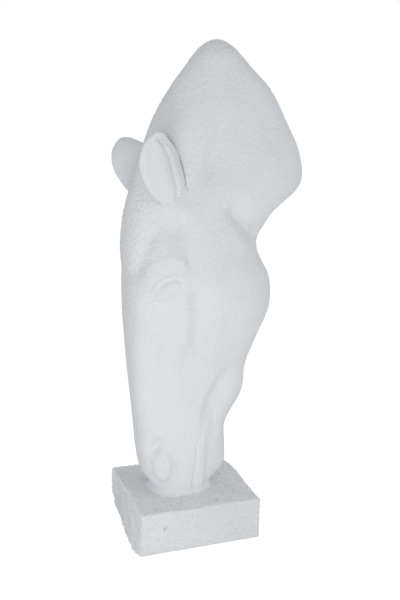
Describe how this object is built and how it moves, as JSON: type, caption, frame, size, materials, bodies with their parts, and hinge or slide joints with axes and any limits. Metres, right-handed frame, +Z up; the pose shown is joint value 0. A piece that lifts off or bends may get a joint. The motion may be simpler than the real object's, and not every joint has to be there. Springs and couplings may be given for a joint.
{
  "type": "horse head sculpture",
  "caption": "Horse-head sculpture, muzzle down on a block plinth: hollow cast halves with bonded ears, clamped to a ballasted base by a threaded rod.",
  "frame": {"origin": "centre of the plinth's footprint, on the ground", "axes": "+Z up, the forehead faces -Y, the horse's left side is +X"},
  "size_m": [0.211, 0.3034, 0.8],
  "materials": {
    "cast_stone": "matte",
    "mortar": "matte",
    "concrete": "matte",
    "laminate": "matte",
    "board": "matte",
    "steel": "satin",
    "brass": "satin"
  },
  "bodies": {
    "root": {"head_left_shell": "cast_stone", "head_right_shell": "cast_stone", "face_seam_strap": "laminate", "throat_seam_strap": "laminate", "left_ear": "cast_stone", "right_ear": "cast_stone", "left_ear_pin": "steel", "right_ear_pin": "steel", "muzzle_core": "mortar", "mortar_bead": "mortar", "tie_rod": "steel", "upper_spreader_plate": "steel", "upper_washer": "steel", "upper_nut": "steel", "lower_anchor_plate": "steel", "lower_washer": "steel", "lower_nut": "steel", "plinth_shell": "cast_stone", "ballast_block": "concrete", "base_board": "board", "base_board_screws": "steel", "screw_inserts": "brass"}
  },
  "joints": []
}
